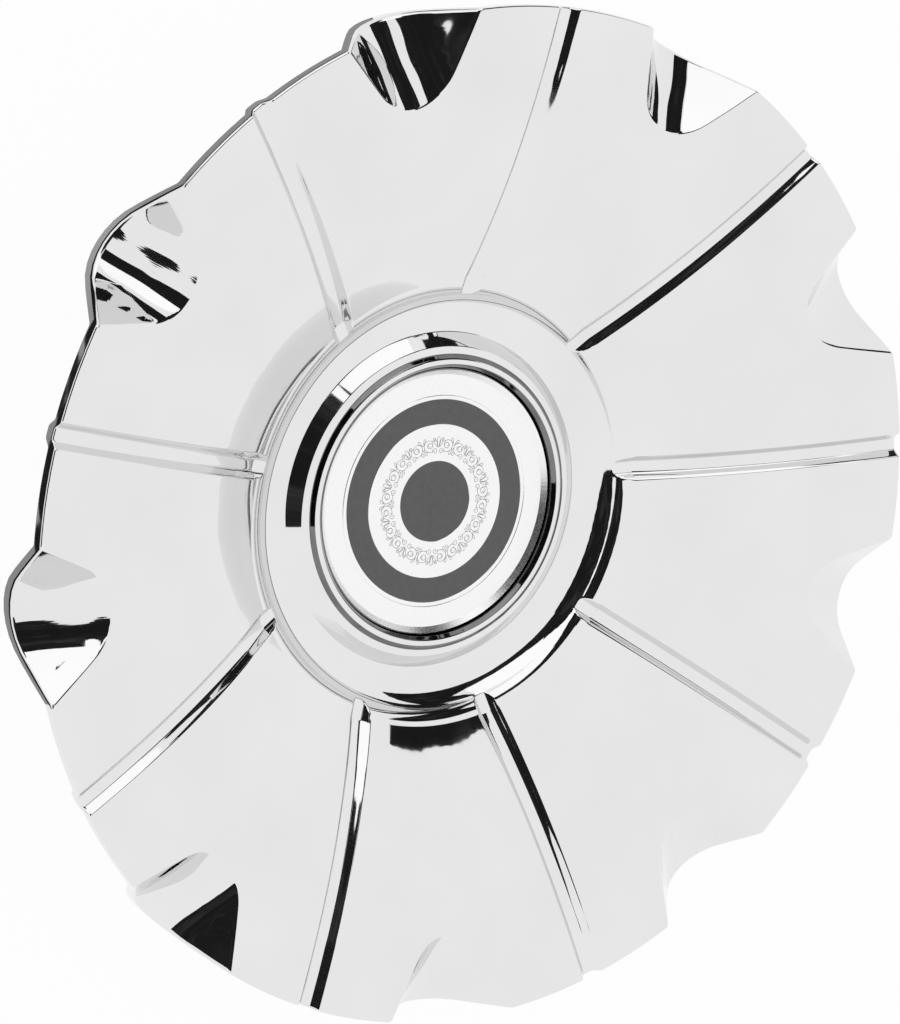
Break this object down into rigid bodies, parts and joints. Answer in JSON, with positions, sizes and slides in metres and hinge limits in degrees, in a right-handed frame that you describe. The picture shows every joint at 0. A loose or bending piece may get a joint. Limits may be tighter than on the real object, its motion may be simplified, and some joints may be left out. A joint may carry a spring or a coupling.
{
  "type": "center cap",
  "caption": "Dished chrome wheel center cap with channelled petals, scalloped rim, round emblem disc and a snap collar behind.",
  "frame": {"origin": "centre of the snap collar's foot plane, below the hub", "axes": "+Z along the wheel axis, out of the show face; X and Y across the cap"},
  "size_m": [0.2, 0.2, 0.045],
  "materials": {
    "chrome_shell": "mirror bright plating over moulded plastic",
    "emblem_face": "satin silver with dark grey printed fields",
    "spring_wire": "drawn spring wire"
  },
  "bodies": {
    "root": {"cap_shell": "chrome_shell", "emblem_plate": "emblem_face", "retaining_ring": "spring_wire"}
  },
  "joints": []
}
